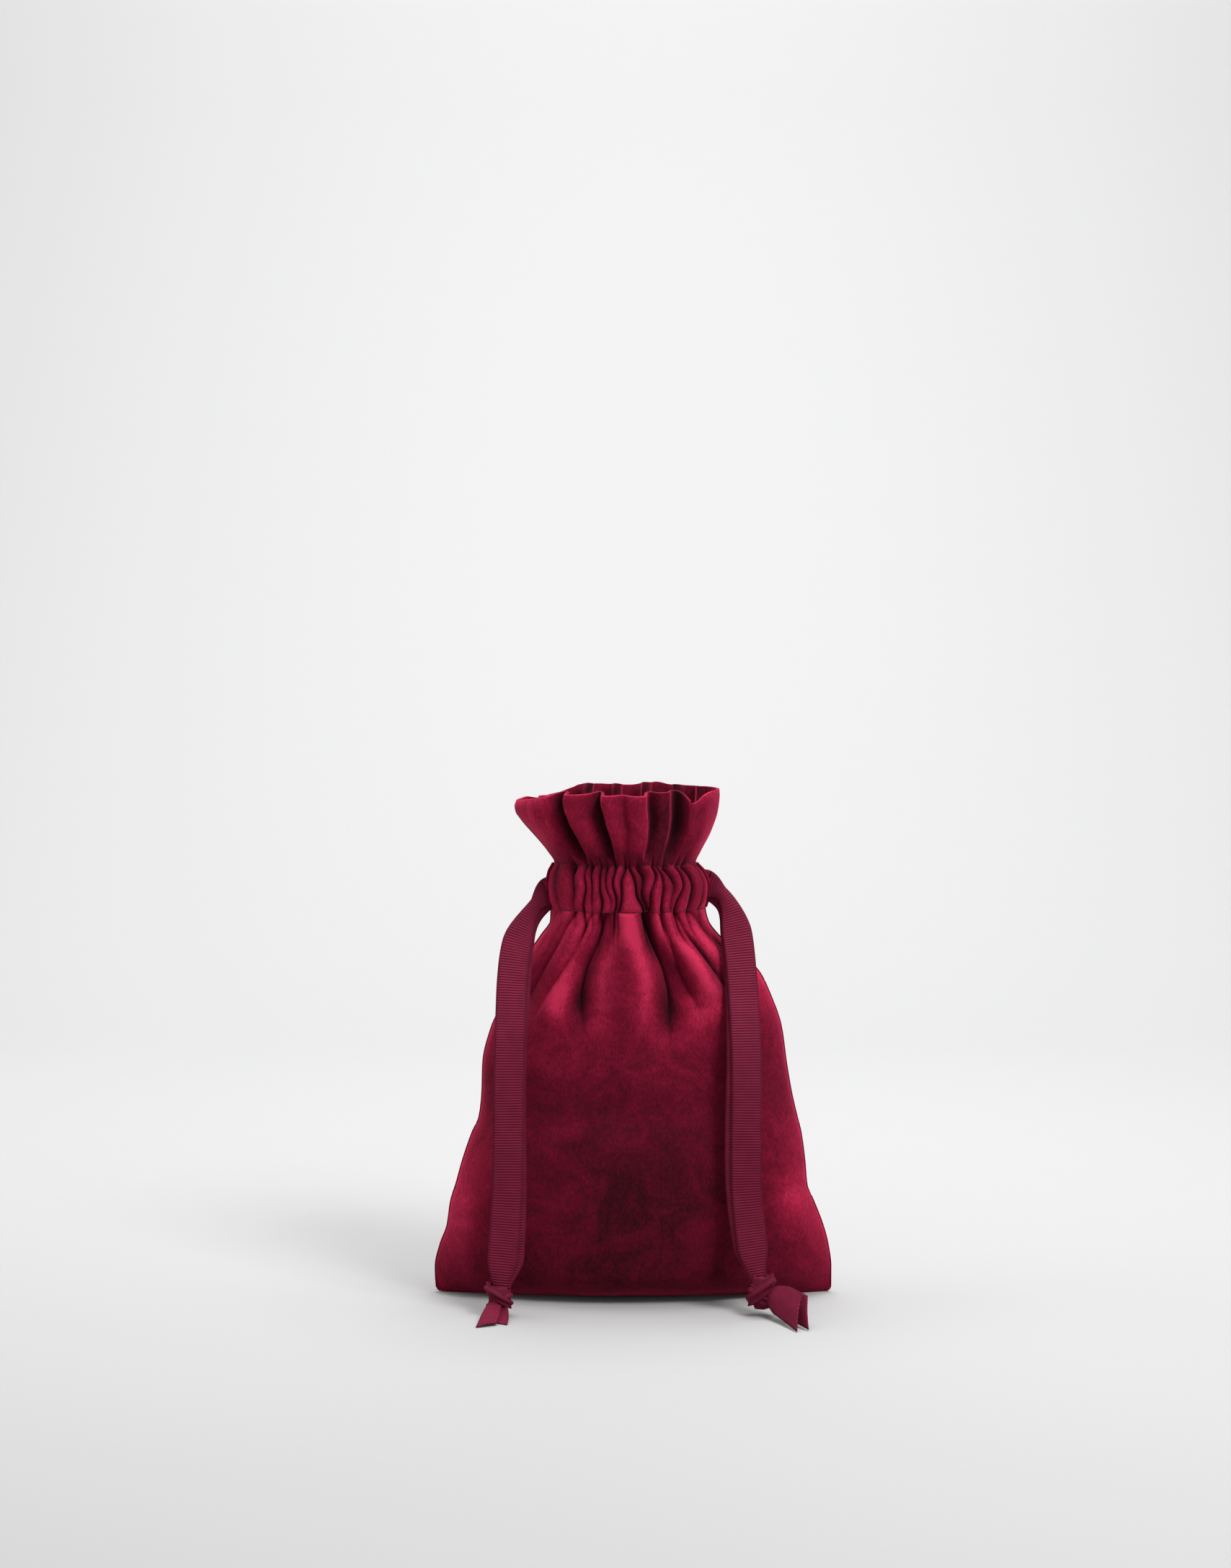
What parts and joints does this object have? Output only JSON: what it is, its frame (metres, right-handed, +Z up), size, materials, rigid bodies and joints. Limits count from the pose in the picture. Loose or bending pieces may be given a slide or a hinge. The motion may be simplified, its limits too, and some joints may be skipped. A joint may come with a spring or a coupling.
{
  "type": "fabric gift sack",
  "caption": "Velvet drawstring pouch standing filled, with a pleated ruffle above a gathered casing and knotted ribbon pulls at both sides.",
  "frame": {"origin": "middle of the flat bottom that the sack stands on", "axes": "+Z up through the mouth, -Y out of the front, +X to the right seen from the front"},
  "size_m": [0.2026, 0.1131, 0.256],
  "materials": {
    "velvet": "crushed velvet pile",
    "velvet_inside": "velvet in shade",
    "ribbon": "ribbed grosgrain",
    "thread": "matte sewing thread"
  },
  "bodies": {
    "sack": {"front_panel": "velvet", "back_panel": "velvet", "left_side_seam": "thread", "right_side_seam": "thread", "bottom_seam": "thread", "left_casing_side": "velvet", "right_casing_side": "velvet", "left_ruffle_side": "velvet", "right_ruffle_side": "velvet", "left_ruffle_facing": "velvet_inside", "right_ruffle_facing": "velvet_inside"},
    "mouth_front": {"front_casing_outer": "velvet", "front_casing_inner": "velvet_inside", "front_ruffle": "velvet", "front_ruffle_facing": "velvet_inside", "front_lower_stitches": "thread", "front_upper_stitches": "thread", "left_ribbon_front_run": "ribbon", "right_ribbon_front_run": "ribbon"},
    "mouth_back": {"back_casing_outer": "velvet", "back_casing_inner": "velvet_inside", "back_ruffle": "velvet", "back_ruffle_facing": "velvet_inside", "back_lower_stitches": "thread", "back_upper_stitches": "thread", "left_ribbon_back_run": "ribbon", "right_ribbon_back_run": "ribbon"},
    "left_drawstring": {"left_ribbon_exit": "ribbon"},
    "right_drawstring": {"right_ribbon_exit": "ribbon"},
    "left_strands": {"left_front_strand": "ribbon", "left_back_strand": "ribbon", "left_knot": "ribbon", "left_front_tail": "ribbon", "left_back_tail": "ribbon"},
    "right_strands": {"right_front_strand": "ribbon", "right_back_strand": "ribbon", "right_knot": "ribbon", "right_front_tail": "ribbon", "right_back_tail": "ribbon"}
  },
  "joints": [
    {"name": "mouth_front_close", "type": "slide", "parent": "sack", "child": "mouth_front", "axis": [0, 1, 0], "range_m": [0, 0.011]},
    {"name": "mouth_back_close", "type": "slide", "parent": "sack", "child": "mouth_back", "axis": [0, -1, 0], "range_m": [0, 0.011]},
    {"name": "left_ribbon_pull", "type": "slide", "parent": "sack", "child": "left_drawstring", "axis": [-1, 0, 0], "range_m": [0, 0.01375]},
    {"name": "right_ribbon_pull", "type": "slide", "parent": "sack", "child": "right_drawstring", "axis": [1, 0, 0], "range_m": [0, 0.01375]},
    {"name": "left_ribbon_swing", "type": "hinge", "parent": "left_drawstring", "child": "left_strands", "pos_m": [-0.0515, 0, 0.2075], "axis": [0, 1, 0], "range_deg": [0, 75]},
    {"name": "right_ribbon_swing", "type": "hinge", "parent": "right_drawstring", "child": "right_strands", "pos_m": [0.0462, 0, 0.2075], "axis": [0, -1, 0], "range_deg": [0, 75]}
  ],
  "couplings": [
    {"joint": "mouth_back_close", "follows": "mouth_front_close", "ratio": 1},
    {"joint": "left_ribbon_pull", "follows": "mouth_front_close", "ratio": 1.25},
    {"joint": "right_ribbon_pull", "follows": "mouth_front_close", "ratio": 1.25}
  ]
}
